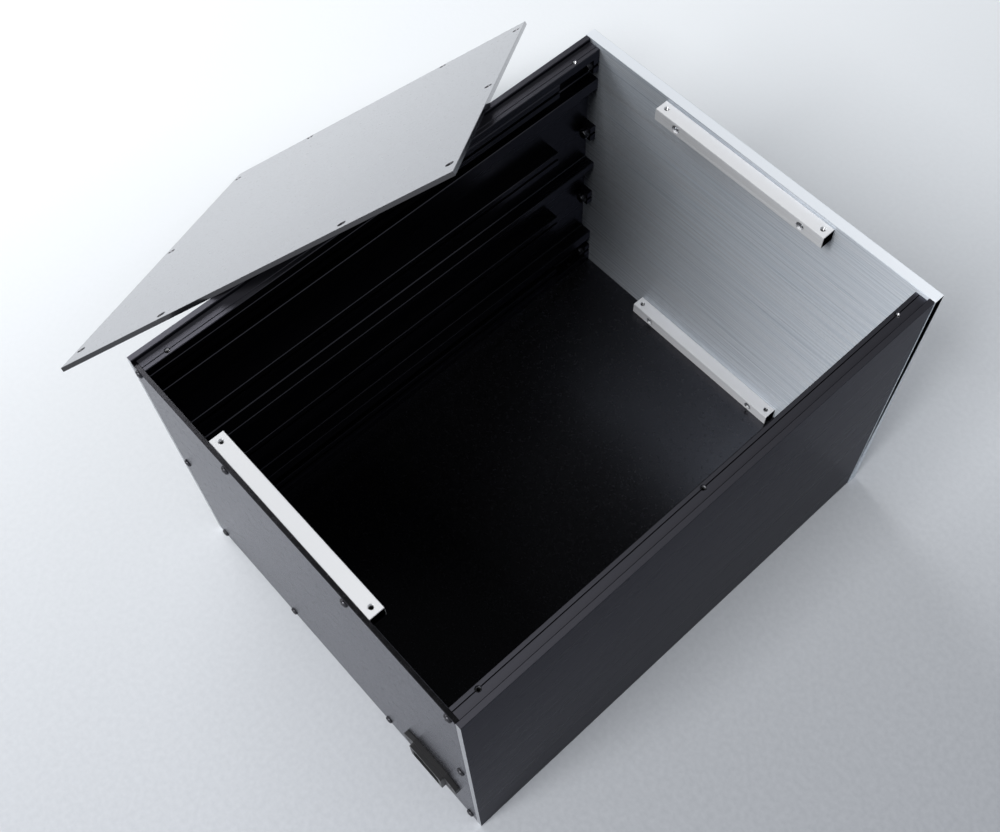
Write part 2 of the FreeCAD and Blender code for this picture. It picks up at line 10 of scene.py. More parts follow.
import json
import logging
import math
from dataclasses import dataclass
from enum import Enum

import bpy
from mathutils import Euler, Matrix, Vector

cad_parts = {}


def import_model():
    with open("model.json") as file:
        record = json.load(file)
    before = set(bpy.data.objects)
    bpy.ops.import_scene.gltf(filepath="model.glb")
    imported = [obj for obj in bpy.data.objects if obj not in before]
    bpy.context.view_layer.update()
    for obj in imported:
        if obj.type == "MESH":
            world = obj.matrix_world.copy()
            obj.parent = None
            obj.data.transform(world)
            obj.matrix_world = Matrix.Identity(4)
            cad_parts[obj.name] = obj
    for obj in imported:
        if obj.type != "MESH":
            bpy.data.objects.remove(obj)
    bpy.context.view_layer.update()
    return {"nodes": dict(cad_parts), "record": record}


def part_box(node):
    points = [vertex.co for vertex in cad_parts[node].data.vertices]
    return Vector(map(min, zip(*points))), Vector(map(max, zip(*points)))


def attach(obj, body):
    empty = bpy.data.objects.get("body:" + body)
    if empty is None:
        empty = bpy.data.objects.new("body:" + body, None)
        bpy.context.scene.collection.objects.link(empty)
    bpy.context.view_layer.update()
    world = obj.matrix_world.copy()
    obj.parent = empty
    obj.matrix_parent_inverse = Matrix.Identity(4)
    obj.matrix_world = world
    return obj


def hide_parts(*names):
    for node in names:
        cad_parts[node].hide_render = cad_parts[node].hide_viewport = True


LOG = logging.getLogger("chassis")
MM = 0.001
Colour = tuple[float, float, float, float]
Point = tuple[float, float, float]


class Grain(Enum):
    """Which way a finish runs. The value multiplies a position, so a small number is the run."""

    ALONG_X = (0.012, 1.0, 1.0)
    ALONG_Y = (1.0, 0.012, 1.0)
    ALONG_Z = (1.0, 1.0, 0.012)
    NONE = (1.0, 1.0, 1.0)


# ---------------------------------------------------------------- shared effects


class Effects:
    """The shader node groups that several finishes share, each built once."""

    def __init__(self) -> None:
        """Builds every group."""
        self.grain = self._grain_group()
        self.mottle = self._mottle_group()
        self.cut_face = self._cut_face_group()

    @staticmethod
    def _new_group(name: str, inputs: list[tuple[str, str, object]], outputs: list[str]):
        """Makes an empty group with named sockets.

        Args:
            name: the group's name.
            inputs: name, socket type and default value of each input.
            outputs: names of the outputs, which are all floats.

        Returns:
            The group, its input node and its output node.
        """
        group = bpy.data.node_groups.new(name, "ShaderNodeTree")
        for label, kind, value in inputs:
            socket = group.interface.new_socket(label, in_out="INPUT", socket_type=kind)
            socket.default_value = value
        for label in outputs:
            group.interface.new_socket(label, in_out="OUTPUT", socket_type="NodeSocketFloat")
        return group, group.nodes.new("NodeGroupInput"), group.nodes.new("NodeGroupOutput")

    @staticmethod
    def math_node(tree: bpy.types.NodeTree, operation: str, *values: object) -> bpy.types.NodeSocket:
        """Adds a Math node and returns its output.

        Args:
            tree: the node tree to add to.
            operation: the Math node's operation.
            values: a number or a socket for each input, in order.

        Returns:
            The node's value output.
        """
        node = tree.nodes.new("ShaderNodeMath")
        node.operation = operation
        for socket, value in zip(node.inputs, values):
            if isinstance(value, bpy.types.NodeSocket):
                tree.links.new(value, socket)
            else:
                socket.default_value = value
        return node.outputs[0]

    def _grain_group(self) -> bpy.types.NodeTree:
        """Fine lines that run one way: streaks for roughness, and a height for bump."""
        group, inside, out = self._new_group(
            "directional_grain",
            [
                ("Position", "NodeSocketVector", (0.0, 0.0, 0.0)),
                ("Run", "NodeSocketVector", Grain.ALONG_X.value),
                ("Lines per metre", "NodeSocketFloat", 2500.0),
            ],
            ["Height", "Streak"],
        )
        links = group.links
        stretched = group.nodes.new("ShaderNodeVectorMath")
        stretched.operation = "MULTIPLY"
        links.new(inside.outputs["Position"], stretched.inputs[0])
        links.new(inside.outputs["Run"], stretched.inputs[1])
        fine = group.nodes.new("ShaderNodeTexNoise")
        fine.inputs["Detail"].default_value = 3.0
        fine.inputs["Roughness"].default_value = 0.7
        links.new(stretched.outputs[0], fine.inputs["Vector"])
        links.new(inside.outputs["Lines per metre"], fine.inputs["Scale"])
        broad = group.nodes.new("ShaderNodeTexNoise")
        broad.inputs["Detail"].default_value = 4.0
        broad.inputs["Roughness"].default_value = 0.75
        links.new(stretched.outputs[0], broad.inputs["Vector"])
        eighth = self.math_node(group, "MULTIPLY", inside.outputs["Lines per metre"], 0.11)
        links.new(eighth, broad.inputs["Scale"])
        links.new(fine.outputs["Fac"], out.inputs["Height"])
        links.new(broad.outputs["Fac"], out.inputs["Streak"])
        return group

    def _mottle_group(self) -> bpy.types.NodeTree:
        """Soft patches and a sparse fine speckle, as dust and handling leave on a dark surface."""
        group, inside, out = self._new_group(
            "mottle",
            [
                ("Position", "NodeSocketVector", (0.0, 0.0, 0.0)),
                ("Patch scale", "NodeSocketFloat", 9.0),
                ("Speck scale", "NodeSocketFloat", 700.0),
            ],
            ["Patch", "Speck"],
        )
        links = group.links
        patch = group.nodes.new("ShaderNodeTexNoise")
        patch.inputs["Detail"].default_value = 3.0
        links.new(inside.outputs["Position"], patch.inputs["Vector"])
        links.new(inside.outputs["Patch scale"], patch.inputs["Scale"])
        cells = group.nodes.new("ShaderNodeTexVoronoi")
        links.new(inside.outputs["Position"], cells.inputs["Vector"])
        links.new(inside.outputs["Speck scale"], cells.inputs["Scale"])
        near = self.math_node(group, "LESS_THAN", cells.outputs["Distance"], 0.16)
        pick = group.nodes.new("ShaderNodeSeparateColor")
        links.new(cells.outputs["Color"], pick.inputs[0])
        rare = self.math_node(group, "GREATER_THAN", pick.outputs[0], 0.985)
        speck = self.math_node(group, "MULTIPLY", near, rare)
        links.new(patch.outputs["Fac"], out.inputs["Patch"])
        links.new(speck, out.inputs["Speck"])
        return group

    def _cut_face_group(self) -> bpy.types.NodeTree:
        """Masks the faces that point along one direction past a plane, such as sawn ends."""
        group, inside, out = self._new_group(
            "cut_face",
            [
                ("Position", "NodeSocketVector", (0.0, 0.0, 0.0)),
                ("Normal", "NodeSocketVector", (0.0, 0.0, 1.0)),
                ("Direction", "NodeSocketVector", (0.0, 1.0, 0.0)),
                ("Plane", "NodeSocketFloat", 0.0),
            ],
            ["Mask"],
        )
        links = group.links
        dots = []
        for source in ("Position", "Normal"):
            dot = group.nodes.new("ShaderNodeVectorMath")
            dot.operation = "DOT_PRODUCT"
            links.new(inside.outputs[source], dot.inputs[0])
            links.new(inside.outputs["Direction"], dot.inputs[1])
            dots.append(dot.outputs["Value"])
        past = self.math_node(group, "GREATER_THAN", dots[0], inside.outputs["Plane"])
        facing = self.math_node(group, "GREATER_THAN", dots[1], 0.9)
        links.new(self.math_node(group, "MULTIPLY", past, facing), out.inputs["Mask"])
        return group


class MaterialSheet:
    """One material under construction: its tree, its shader and shortcuts for adding nodes."""

    def __init__(self, name: str) -> None:
        """Starts a node material with a Principled shader.

        Args:
            name: the material's name.
        """
        self.material = bpy.data.materials.new(name)
        self.material.use_nodes = True
        self.tree = self.material.node_tree
        self.shader = self.tree.nodes["Principled BSDF"]
        coords = self.tree.nodes.new("ShaderNodeTexCoord")
        self.position = coords.outputs["Object"]
        self.normal = coords.outputs["Normal"]

    def link(self, source: bpy.types.NodeSocket, target: bpy.types.NodeSocket) -> None:
        """Joins two sockets."""
        self.tree.links.new(source, target)

    def group(self, effect: bpy.types.NodeTree, **values: object) -> bpy.types.Node:
        """Places a shared effect, reading Object coordinates.

        Args:
            effect: the node group.
            values: input values by socket name, with underscores for spaces.

        Returns:
            The group's node.
        """
        node = self.tree.nodes.new("ShaderNodeGroup")
        node.node_tree = effect
        self.link(self.position, node.inputs["Position"])
        for label, value in values.items():
            node.inputs[label.replace("_", " ")].default_value = value
        return node

    def ramp(self, value: bpy.types.NodeSocket, low: float, high: float) -> bpy.types.NodeSocket:
        """Maps noise about 0.5 to the range low to high.

        Args:
            value: the socket to map.
            low: what a value of 0.3 becomes.
            high: what a value of 0.7 becomes.

        Returns:
            The mapped value's socket.
        """
        node = self.tree.nodes.new("ShaderNodeMapRange")
        node.inputs["From Min"].default_value = 0.3
        node.inputs["From Max"].default_value = 0.7
        node.inputs["To Min"].default_value = low
        node.inputs["To Max"].default_value = high
        self.link(value, node.inputs["Value"])
        return node.outputs["Result"]

    def mix_colour(self, factor: bpy.types.NodeSocket, first: object, second: object):
        """Mixes two colours.

        Args:
            factor: the mask, 0 for the first colour.
            first: a colour or a socket.
            second: a colour or a socket.

        Returns:
            The mixed colour's socket.
        """
        node = self.tree.nodes.new("ShaderNodeMix")
        node.data_type = "RGBA"
        self.link(factor, node.inputs["Factor"])
        for socket, value in ((node.inputs[6], first), (node.inputs[7], second)):
            if isinstance(value, bpy.types.NodeSocket):
                self.link(value, socket)
            else:
                socket.default_value = value
        return node.outputs[2]

    def mix_value(self, factor: bpy.types.NodeSocket, first: object, second: object):
        """Mixes two numbers or sockets by a mask and returns the result's socket."""
        node = self.tree.nodes.new("ShaderNodeMix")
        self.link(factor, node.inputs["Factor"])
        for socket, value in ((node.inputs[2], first), (node.inputs[3], second)):
            if isinstance(value, bpy.types.NodeSocket):
                self.link(value, socket)
            else:
                socket.default_value = value
        return node.outputs[0]

    def bump(self, height: bpy.types.NodeSocket, depth: float, strength: float = 1.0) -> None:
        """Gives the shader a bump from a height.

        Args:
            height: the height's socket, 0 to 1.
            depth: how deep a height of 1 is, in metres.
            strength: the Bump node's strength.
        """
        node = self.tree.nodes.new("ShaderNodeBump")
        node.inputs["Distance"].default_value = depth
        node.inputs["Strength"].default_value = strength
        self.link(height, node.inputs["Height"])
        self.link(node.outputs["Normal"], self.shader.inputs["Normal"])

    def set(self, **values: object) -> None:
        """Sets the shader's own sockets, by name with underscores for spaces."""
        for label, value in values.items():
            self.shader.inputs[label.replace("_", " ")].default_value = value


# ---------------------------------------------------------------- finishes


@dataclass(frozen=True)
class Anodised:
    """Black anodised aluminium: a dyed, slightly glossy skin over metal."""

    name: str
    colour: Colour
    roughness: float
    spread: float
    grain: Grain
    lines_per_metre: float
    grain_depth: float
    metallic: float = 1.0
    coat: float = 0.0
    coat_roughness: float = 0.12
    edge_tint: float = 0.5
    # Up-facing faces above this height take a lighter grey colour. This is a painted sheen for the
    # light that these tops reflect, not a different finish.
    painted_sheen_top: float | None = None
    painted_sheen_colour: Colour = (0.11, 0.11, 0.13, 1.0)
    bare_end: float | None = None
    bare_colour: Colour = (0.78, 0.79, 0.80, 1.0)

    def build(self, effects: Effects) -> bpy.types.Material:
        """Builds the material.

        Args:
            effects: the shared node groups.

        Returns:
            The finished material.
        """
        sheet = MaterialSheet(self.name)
        grain = sheet.group(
            effects.grain, Run=self.grain.value, Lines_per_metre=self.lines_per_metre
        )
        mottle = sheet.group(effects.mottle)
        worn = tuple(part * 1.18 for part in self.colour[:3]) + (1.0,)
        dust: Colour = (0.11, 0.11, 0.12, 1.0)
        patchy = sheet.mix_colour(sheet.ramp(mottle.outputs["Patch"], 0.0, 1.0), self.colour, worn)
        colour = sheet.mix_colour(mottle.outputs["Speck"], patchy, dust)
        roughness = sheet.ramp(
            grain.outputs["Streak"], self.roughness - self.spread, self.roughness + self.spread
        )
        # Painted sheen: the up-facing top faces get a lighter grey colour that stands in for
        # reflected light.
        if self.painted_sheen_top is not None:
            top = sheet.group(effects.cut_face, Direction=(0.0, 0.0, 1.0), Plane=self.painted_sheen_top)
            sheet.link(sheet.normal, top.inputs["Normal"])
            colour = sheet.mix_colour(top.outputs["Mask"], colour, self.painted_sheen_colour)
            roughness = sheet.mix_value(top.outputs["Mask"], roughness, 0.5)
        if self.bare_end is not None:
            cut = sheet.group(effects.cut_face, Direction=(0.0, 1.0, 0.0), Plane=self.bare_end)
            sheet.link(sheet.normal, cut.inputs["Normal"])
            mask = cut.outputs["Mask"]
            colour = sheet.mix_colour(mask, colour, self.bare_colour)
            roughness = sheet.mix_value(mask, roughness, 0.42)
            metallic = sheet.mix_value(mask, self.metallic, 1.0)
            sheet.link(metallic, sheet.shader.inputs["Metallic"])
            coat = sheet.mix_value(mask, self.coat, 0.0)
            sheet.link(coat, sheet.shader.inputs["Coat Weight"])
        else:
            sheet.set(Metallic=self.metallic, Coat_Weight=self.coat)
        sheet.link(colour, sheet.shader.inputs["Base Color"])
        sheet.link(roughness, sheet.shader.inputs["Roughness"])
        sheet.set(Coat_Roughness=self.coat_roughness, Coat_IOR=1.6)
        sheet.set(Specular_Tint=(self.edge_tint, self.edge_tint, self.edge_tint * 1.04, 1.0))
        sheet.bump(grain.outputs["Height"], self.grain_depth)
        return sheet.material


@dataclass(frozen=True)
class Brushed:
    """Bare metal with lines from brushing, milling or turning."""

    name: str
    colour: Colour
    dark: Colour
    roughness: float
    spread: float
    grain: Grain
    lines_per_metre: float
    grain_depth: float
    anisotropy: float = 0.0
    # Up-facing faces above this height are milled. They take the light tone, a low metallic and more
    # roughness, which is partly their milled finish and partly a painted highlight for the light
    # from above.
    milled_painted_highlight_top: float | None = None
    edge_roughness: float = 0.62

    def build(self, effects: Effects) -> bpy.types.Material:
        """Builds the material.

        Args:
            effects: the shared node groups.

        Returns:
            The finished material.
        """
        sheet = MaterialSheet(self.name)
        grain = sheet.group(
            effects.grain, Run=self.grain.value, Lines_per_metre=self.lines_per_metre
        )
        streak = grain.outputs["Streak"]
        colour = sheet.mix_colour(sheet.ramp(streak, 0.0, 1.0), self.dark, self.colour)
        roughness = sheet.ramp(streak, self.roughness + self.spread, self.roughness - self.spread)
        metallic: bpy.types.NodeSocket | None = None
        # Painted highlight on the milled faces: the up-facing faces get the light tone and a low
        # metallic, so that they read white.
        if self.milled_painted_highlight_top is not None:
            cut = sheet.group(effects.cut_face, Direction=(0.0, 0.0, 1.0), Plane=self.milled_painted_highlight_top)
            sheet.link(sheet.normal, cut.inputs["Normal"])
            mask = cut.outputs["Mask"]
            colour = sheet.mix_colour(mask, colour, self.colour)
            roughness = sheet.mix_value(mask, roughness, self.edge_roughness)
            metallic = sheet.mix_value(mask, 1.0, 0.35)
            sheet.link(metallic, sheet.shader.inputs["Metallic"])
        sheet.link(colour, sheet.shader.inputs["Base Color"])
        sheet.link(roughness, sheet.shader.inputs["Roughness"])
        sheet.set(Metallic=1.0, Anisotropic=self.anisotropy)
        if self.anisotropy > 0.0:
            across = sheet.tree.nodes.new("ShaderNodeVectorMath")
            across.operation = "CROSS_PRODUCT"
            sheet.link(sheet.normal, across.inputs[0])
            across.inputs[1].default_value = (1.0, 0.0, 0.0)
            sheet.link(across.outputs[0], sheet.shader.inputs["Tangent"])
        sheet.bump(grain.outputs["Height"], self.grain_depth)
        return sheet.material


@dataclass(frozen=True)
class Moulded:
    """Moulded plastic with a faint spark-eroded texture."""

    name: str
    colour: Colour
    roughness: float

    def build(self, effects: Effects) -> bpy.types.Material:
        """Builds the material.

        Args:
            effects: the shared node groups.

        Returns:
            The finished material.
        """
        sheet = MaterialSheet(self.name)
        mottle = sheet.group(effects.mottle, Patch_scale=1800.0)
        lighter = tuple(part * 1.5 for part in self.colour[:3]) + (1.0,)
        patch = mottle.outputs["Patch"]
        colour = sheet.mix_colour(sheet.ramp(patch, 0.0, 1.0), self.colour, lighter)
        sheet.link(colour, sheet.shader.inputs["Base Color"])
        roughness = sheet.ramp(patch, self.roughness - 0.05, self.roughness + 0.05)
        sheet.link(roughness, sheet.shader.inputs["Roughness"])
        sheet.bump(patch, 0.00002)
        return sheet.material


class Finishes:
    """Every finish of the chassis, built once and handed out by name."""

    def __init__(self, effects: Effects, rear_y: float, top_z: float) -> None:
        """Builds the materials.

        Args:
            effects: the shared node groups.
            rear_y: where the sawn rear ends of the side panels lie, in metres.
            top_z: height of the chassis's upper edges, in metres.
        """
        recipes = [
            Anodised(
                name="black_anodised_plate",
                colour=(0.085, 0.085, 0.095, 1.0),
                roughness=0.26,
                spread=0.03,
                grain=Grain.NONE,
                lines_per_metre=2600.0,
                grain_depth=0.000001,
                edge_tint=0.75,
            ),
            Anodised(
                name="black_anodised_cover",
                colour=(0.055, 0.055, 0.062, 1.0),
                roughness=0.26,
                spread=0.02,
                grain=Grain.NONE,
                lines_per_metre=2600.0,
                grain_depth=0.0000008,
                metallic=1.0,
                coat=1.0,
                edge_tint=0.9,
            ),
            Anodised(
                name="black_anodised_extrusion",
                colour=(0.035, 0.035, 0.042, 1.0),
                roughness=0.28,
                spread=0.015,
                grain=Grain.ALONG_Y,
                lines_per_metre=1900.0,
                grain_depth=0.0000008,
                edge_tint=0.45,
                # The lip and ledge tops get the painted sheen.
                painted_sheen_top=top_z - 5.0 * MM,
                bare_end=rear_y - 0.1 * MM,
            ),
            Brushed(
                name="brushed_front_panel",
                colour=(0.90, 0.94, 0.99, 1.0),
                dark=(0.40, 0.45, 0.51, 1.0),
                roughness=0.56,
                spread=0.10,
                grain=Grain.ALONG_X,
                lines_per_metre=4600.0,
                grain_depth=0.00002,
                anisotropy=0.9,
                milled_painted_highlight_top=top_z - 0.2 * MM,
            ),
            Brushed(
                name="milled_bar",
                colour=(0.83, 0.84, 0.86, 1.0),
                dark=(0.70, 0.71, 0.73, 1.0),
                roughness=0.60,
                spread=0.06,
                grain=Grain.ALONG_X,
                lines_per_metre=3600.0,
                grain_depth=0.000004,
                anisotropy=0.8,
                milled_painted_highlight_top=0.0,
            ),
            Brushed(
                name="bare_thread",
                colour=(0.52, 0.52, 0.53, 1.0),
                dark=(0.34, 0.34, 0.35, 1.0),
                roughness=0.22,
                spread=0.05,
                grain=Grain.NONE,
                lines_per_metre=3000.0,
                grain_depth=0.000001,
            ),
            Brushed(
                name="black_oxide_steel",
                colour=(0.10, 0.10, 0.11, 1.0),
                dark=(0.05, 0.05, 0.055, 1.0),
                roughness=0.30,
                spread=0.06,
                grain=Grain.NONE,
                lines_per_metre=2500.0,
                grain_depth=0.000002,
            ),
            Brushed(
                name="zinc_plated_steel",
                colour=(0.72, 0.73, 0.75, 1.0),
                dark=(0.55, 0.56, 0.58, 1.0),
                roughness=0.28,
                spread=0.06,
                grain=Grain.NONE,
                lines_per_metre=2500.0,
                grain_depth=0.000002,
            ),
            Brushed(
                name="nickel_plated_brass",
                colour=(0.80, 0.77, 0.70, 1.0),
                dark=(0.66, 0.63, 0.57, 1.0),
                roughness=0.20,
                spread=0.05,
                grain=Grain.ALONG_Y,
                lines_per_metre=3000.0,
                grain_depth=0.000001,
            ),
            Moulded(name="inlet_black_plastic", colour=(0.014, 0.014, 0.015, 1.0), roughness=0.42),
        ]
        self._materials = {recipe.name: recipe.build(effects) for recipe in recipes}

    def get(self, name: str) -> bpy.types.Material:
        """Returns the material of that name."""
        return self._materials[name]


# ---------------------------------------------------------------- the CAD solids' finishes


@dataclass
class Enclosure:
    """The solids that are right as they come: each gets its finish and keeps its shape."""

    finishes: Finishes

    def dress(self, nodes: dict[str, bpy.types.Object]) -> None:
        """Puts a finish on every solid.

        Args:
            nodes: the frame's nodes by name.
        """
        for name, node in nodes.items():
            finish = self.finish_for(name)
            node.material_slots[0].material = self.finishes.get(finish)
            LOG.info("finish of %s: %s", name, finish)

    @staticmethod
    def finish_for(name: str) -> str:
        """Chooses a finish by a node's name.

        Args:
            name: the node's name.

        Returns:
            The finish's name.
        """
        if name.startswith("side_panel"):
            return "black_anodised_extrusion"
        if name in ("base_plate", "rear_panel"):
            return "black_anodised_plate"
        if name == "top_cover":
            return "black_anodised_cover"
        if name == "front_panel":
            return "brushed_front_panel"
        if name.endswith("_bar"):
            return "milled_bar"
        if name == "inlet_housing":
            return "inlet_black_plastic"
        if name.endswith("_pin"):
            return "nickel_plated_brass"
        if name in ("inlet_nuts", "front_top_bar_screws", "front_bottom_bar_screws"):
            return "zinc_plated_steel"
        return "black_oxide_steel"


# ---------------------------------------------------------------- modelled pieces


class Workbench:
    """The few modelling moves that the pieces share."""

    @staticmethod
    def clear() -> None:
        """Deselects everything, so that an operator acts on the new piece alone."""
        bpy.ops.object.select_all(action="DESELECT")

    @staticmethod
    def lathe(name: str, rings: list[tuple[float, float]], segments: int) -> bpy.types.Object:
        """Turns a closed body about Z by extruding a disc from ring to ring.

        Args:
            name: the piece's name.
            rings: radius and height of each ring, from the lowest up.
            segments: how many sides the body has.

        Returns:
            The body.
        """
        Workbench.clear()
        radius, height = rings[0]
        bpy.ops.mesh.primitive_circle_add(
            vertices=segments, radius=radius, fill_type="NGON", location=(0.0, 0.0, height)
        )
        body = bpy.context.object
        body.name = name
        bpy.ops.object.transform_apply(location=True)
        bpy.ops.object.mode_set(mode="EDIT")
        bpy.ops.mesh.select_all(action="SELECT")
        for next_radius, next_height in rings[1:]:
            rise = (0.0, 0.0, next_height - height)
            bpy.ops.mesh.extrude_region_move(TRANSFORM_OT_translate={"value": rise})
            ratio = next_radius / radius
            centre = (0.0, 0.0, next_height)
            bpy.ops.transform.resize(value=(ratio, ratio, 1.0), center_override=centre)
            radius, height = next_radius, next_height
        bpy.ops.mesh.select_all(action="SELECT")
        bpy.ops.mesh.normals_make_consistent(inside=False)
        bpy.ops.object.mode_set(mode="OBJECT")
        return body

    @staticmethod
    def cut_key(body: bpy.types.Object, across_flats: float, depth: float) -> None:
        """Cuts a hexagon key into the top of a body whose top face is at height 0.

        Args:
            body: the body.
            across_flats: the key's width across flats.
            depth: the key's depth.
        """
        corner = across_flats / math.sqrt(3.0)
        cone = depth + corner * 0.35
        rings = [(corner * 0.05, -cone), (corner, -depth), (corner, depth)]
        cutter = Workbench.lathe("key_cutter", rings, 6)
        Workbench.clear()
        bpy.context.view_layer.objects.active = body
        body.select_set(True)
        cut = body.modifiers.new("key", "BOOLEAN")
        cut.operation = "DIFFERENCE"
        cut.object = cutter
        bpy.ops.object.modifier_apply(modifier=cut.name)
        bpy.data.objects.remove(cutter)

    @staticmethod
    def join(parts: list[bpy.types.Object], name: str) -> bpy.types.Object:
        """Joins parts into one piece with smooth rounds and crisp edges.

        Args:
            parts: the objects, each in its place.
            name: the piece's name.

        Returns:
            The piece.
        """
        Workbench.clear()
        for part in parts:
            part.select_set(True)
        bpy.context.view_layer.objects.active = parts[0]
        if len(parts) > 1:
            bpy.ops.object.join()
        piece = bpy.context.object
        piece.name = name
        bpy.ops.object.shade_smooth_by_angle(angle=math.radians(32.0))
        return piece

    @staticmethod
    def islands(node: bpy.types.Object) -> list[tuple[Vector, Vector]]:
        """Finds the separate solids in a node's mesh.

        Args:
            node: a node that groups like solids.

        Returns:
            The lowest and highest corner of each solid.
        """
        places = [tuple(round(part, 6) for part in vertex.co) for vertex in node.data.vertices]
        parent = {place: place for place in places}

        def root(place: Point) -> Point:
            """Follows a place to the one that stands for its solid."""
            while parent[place] != place:
                parent[place] = parent[parent[place]]
                place = parent[place]
            return place

        for face in node.data.polygons:
            first, *others = (places[index] for index in face.vertices)
            for other in others:
                parent[root(other)] = root(first)
        solids: dict[Point, list[Point]] = {}
        for place in set(places):
            solids.setdefault(root(place), []).append(place)
        boxes = []
        for points in solids.values():
            low = Vector(min(point[axis] for point in points) for axis in range(3))
            high = Vector(max(point[axis] for point in points) for axis in range(3))
            boxes.append((low, high))
        return sorted(boxes, key=lambda box: tuple(box[0]))


class Facing(Enum):
    """Which way a screw's head faces."""

    REAR = "rear"
    DOWN = "down"


@dataclass(frozen=True)
class ScrewForm:
    """A screw's head and key. Sizes are in metres, and the head's top is at height 0."""

    head_radius: float
    head_height: float
    shank_radius: float
    key: float
    key_depth: float
    knurls: int = 0
    crown: float = 1.0
    countersunk: bool = False
    segments: int = 48

    def rings(self, length: float) -> list[tuple[float, float]]:
        """Works out the screw's outline.

        Args:
            length: from the head's top to the screw's end.

        Returns:
            Radius and height of each ring, from the end of the shank up.
        """
        chamfer = 0.25 * MM
        seat = -self.head_height
        outline = [
            (self.shank_radius - chamfer, -length),
            (self.shank_radius, chamfer - length),
            (self.shank_radius, seat),
        ]
        if self.countersunk:
            return outline + [(self.head_radius, -0.05 * MM), (self.head_radius, 0.0)]
        outline.append((self.head_radius - 0.1 * MM, seat))
        outline.append((self.head_radius, seat + 0.1 * MM))
        if self.crown < 1.0:
            rim = seat + 0.3 * MM
            top = self.head_radius * 0.52
            outline.append((self.head_radius, rim))
            for step in range(1, 7):
                angle = math.radians(90.0 * step / 7.0)
                across = top + (self.head_radius - top) * math.cos(angle)
                outline.append((across, rim - rim * math.sin(angle)))
            outline.append((top, 0.0))
            return outline
        outline.append((self.head_radius, -0.45 * MM))
        outline.append((self.head_radius - 0.12 * MM, -0.18 * MM))
        outline.append((self.head_radius - 0.35 * MM, 0.0))
        return outline

    def build(self, name: str, length: float) -> bpy.types.Object:
        """Models the screw, head up.

        Args:
            name: the screw's name.
            length: from the head's top to the screw's end.

        Returns:
            The screw.
        """
        screw = Workbench.lathe(name, self.rings(length), self.segments)
        if self.knurls:
            self._knurl(screw)
        Workbench.cut_key(screw, self.key, self.key_depth)
        return screw

    def _knurl(self, screw: bpy.types.Object) -> None:
        """Presses grooves into the side of the head, one in every second face."""
        middle = -(self.head_height + 0.35 * MM) / 2.0
        step = 2.0 * math.pi / self.segments
        for face in screw.data.polygons:
            side = abs(face.normal.z) < 0.1 and abs(face.center.z - middle) < 0.3 * MM
            wide = math.hypot(face.center.x, face.center.y) > self.shank_radius * 1.2
            turn = round(math.atan2(face.center.y, face.center.x) / step - 0.5)
            face.select = side and wide and turn % 2 == 0
        for edge in screw.data.edges:
            edge.select = False
        for vertex in screw.data.vertices:
            vertex.select = False
        Workbench.clear()
        bpy.context.view_layer.objects.active = screw
        screw.select_set(True)
        bpy.ops.object.mode_set(mode="EDIT")
        bpy.context.tool_settings.mesh_select_mode = (False, False, True)
        bpy.ops.mesh.inset(thickness=0.03 * MM, depth=-0.11 * MM, use_individual=True)
        bpy.context.tool_settings.mesh_select_mode = (True, False, False)
        bpy.ops.object.mode_set(mode="OBJECT")


@dataclass(frozen=True)
class ScrewSet:
    """A group of like screws: the node that they stand for, their form and their finish."""

    node: str
    form: ScrewForm
    facing: Facing
    finish: str
    slot: str


